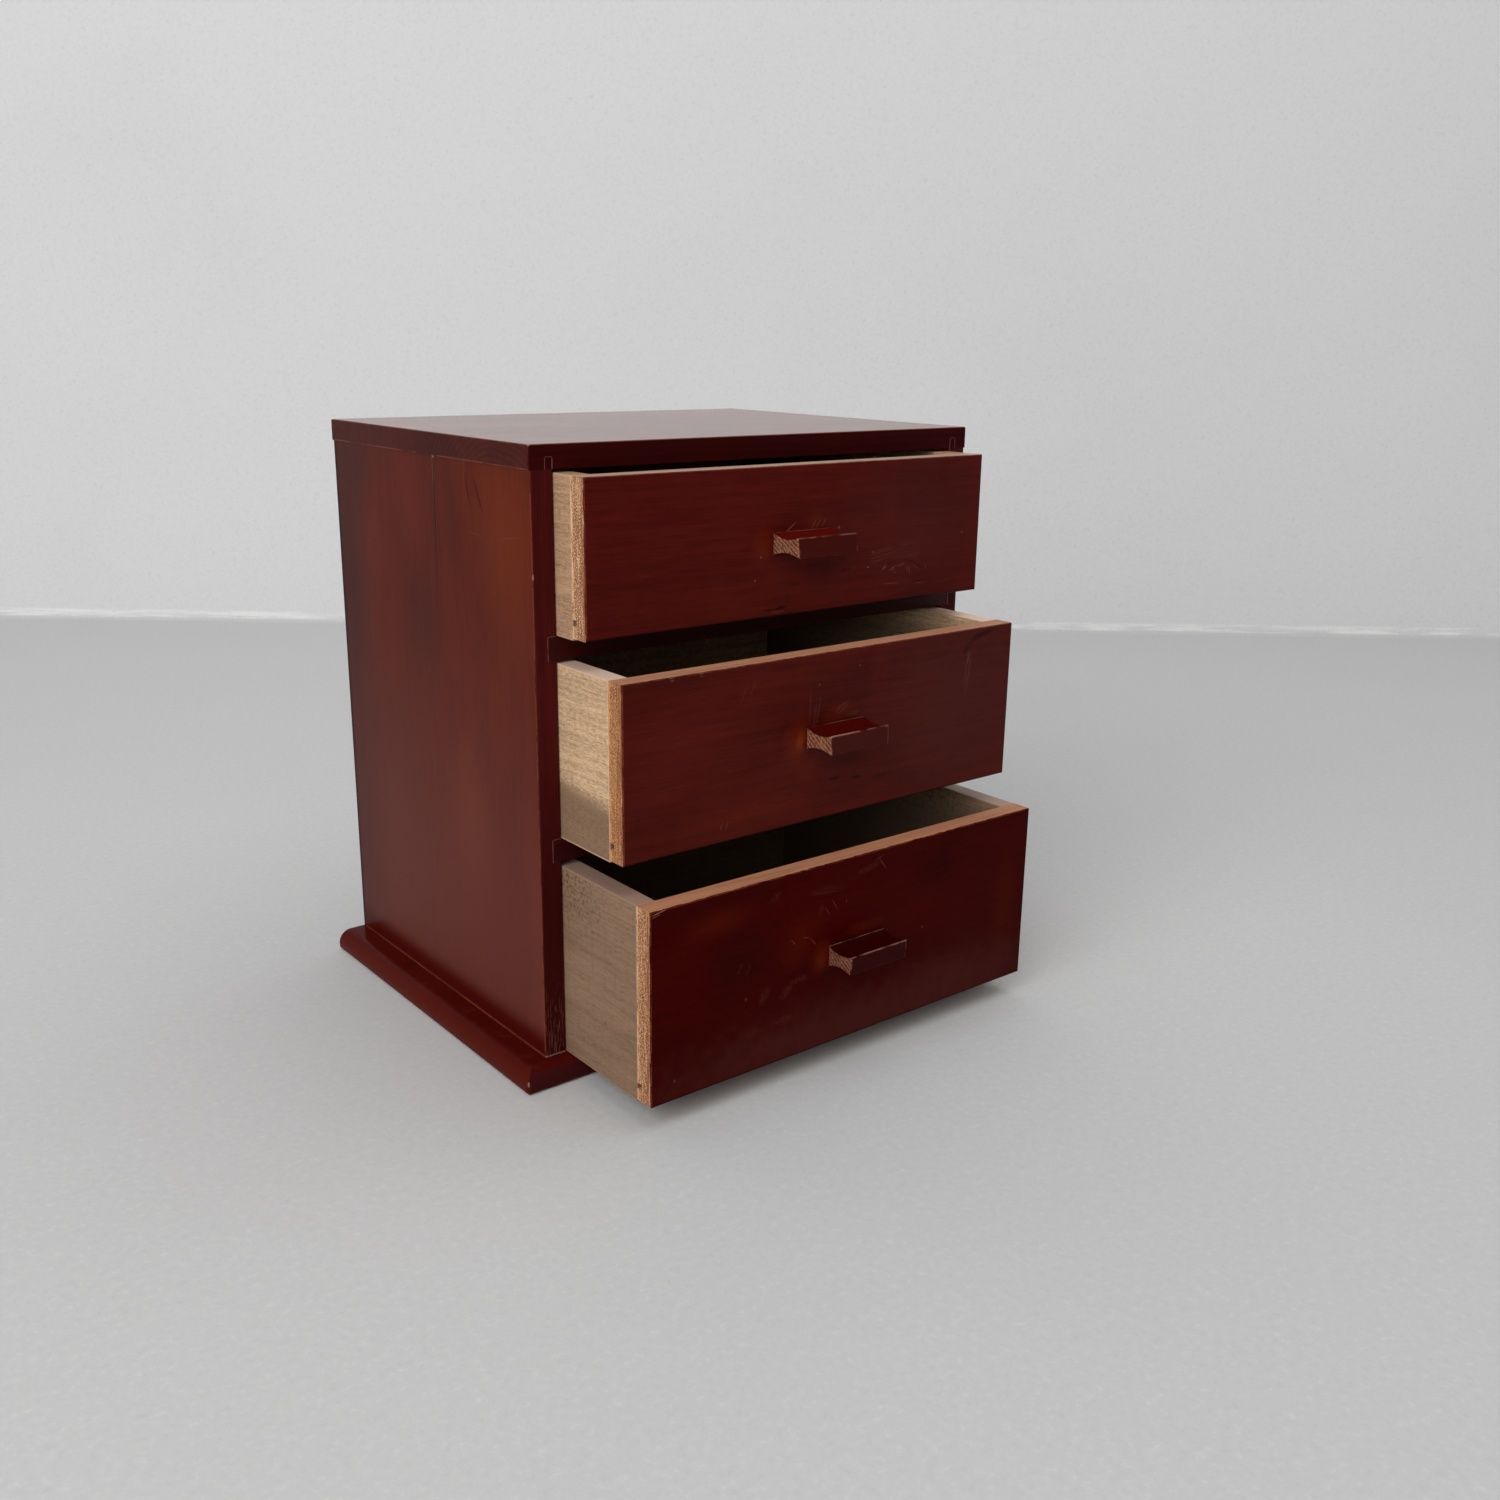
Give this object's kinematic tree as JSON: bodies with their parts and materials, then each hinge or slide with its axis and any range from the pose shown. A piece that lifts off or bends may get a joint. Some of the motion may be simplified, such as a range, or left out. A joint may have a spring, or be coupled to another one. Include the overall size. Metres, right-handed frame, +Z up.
{
  "type": "tabletop chest of drawers",
  "caption": "Small stained wooden table-top chest with graduated sliding drawers, waisted bar pulls and a rounded base board.",
  "frame": {"origin": "centre of the base board's underside, where the chest rests", "axes": "+X to the viewer's right, +Y from the drawer fronts to the back, +Z up"},
  "size_m": [0.246, 0.2405, 0.2465],
  "materials": {
    "side_wood": "red-brown stain under a semi-gloss varnish",
    "top_wood": "red-brown stain under a semi-gloss varnish",
    "base_wood": "red-brown stain under a semi-gloss varnish",
    "shelf_wood": "bare, with a stained front edge",
    "back_panel_wood": "thin stain, dull",
    "drawer_front_wood": "dark red stain and varnish on the face, bare edges",
    "drawer_side_wood": "bare planed wood",
    "drawer_back_wood": "bare planed wood",
    "drawer_bottom_wood": "bare plywood",
    "pull_wood": "dark red stain and varnish",
    "tongue_wood": "bare wood",
    "steel": "plain steel"
  },
  "bodies": {
    "case": {"side_left_front_board": "side_wood", "side_left_rear_board": "side_wood", "side_right_front_board": "side_wood", "side_right_rear_board": "side_wood", "top_board": "top_wood", "lower_shelf": "shelf_wood", "upper_shelf": "shelf_wood", "back_panel": "back_panel_wood", "base_board": "base_wood", "base_screws": "steel", "back_panel_pins": "steel"},
    "lower_drawer": {"lower_drawer_front": "drawer_front_wood", "lower_drawer_left_side": "drawer_side_wood", "lower_drawer_right_side": "drawer_side_wood", "lower_drawer_back": "drawer_back_wood", "lower_drawer_bottom": "drawer_bottom_wood", "lower_drawer_pull": "pull_wood", "lower_drawer_loose_tongues": "tongue_wood", "lower_drawer_pins": "steel", "lower_drawer_pull_screw": "steel"},
    "middle_drawer": {"middle_drawer_front": "drawer_front_wood", "middle_drawer_left_side": "drawer_side_wood", "middle_drawer_right_side": "drawer_side_wood", "middle_drawer_back": "drawer_back_wood", "middle_drawer_bottom": "drawer_bottom_wood", "middle_drawer_pull": "pull_wood", "middle_drawer_loose_tongues": "tongue_wood", "middle_drawer_pins": "steel", "middle_drawer_pull_screw": "steel"},
    "upper_drawer": {"upper_drawer_front": "drawer_front_wood", "upper_drawer_left_side": "drawer_side_wood", "upper_drawer_right_side": "drawer_side_wood", "upper_drawer_back": "drawer_back_wood", "upper_drawer_bottom": "drawer_bottom_wood", "upper_drawer_pull": "pull_wood", "upper_drawer_loose_tongues": "tongue_wood", "upper_drawer_pins": "steel", "upper_drawer_pull_screw": "steel"}
  },
  "joints": [
    {"name": "lower_drawer_slide", "type": "slide", "parent": "case", "child": "lower_drawer", "axis": [0, -1, 0], "range_m": [-0.059, 0.061]},
    {"name": "middle_drawer_slide", "type": "slide", "parent": "case", "child": "middle_drawer", "axis": [0, -1, 0], "range_m": [-0.0425, 0.0775]},
    {"name": "upper_drawer_slide", "type": "slide", "parent": "case", "child": "upper_drawer", "axis": [0, -1, 0], "range_m": [-0.02, 0.1]}
  ]
}
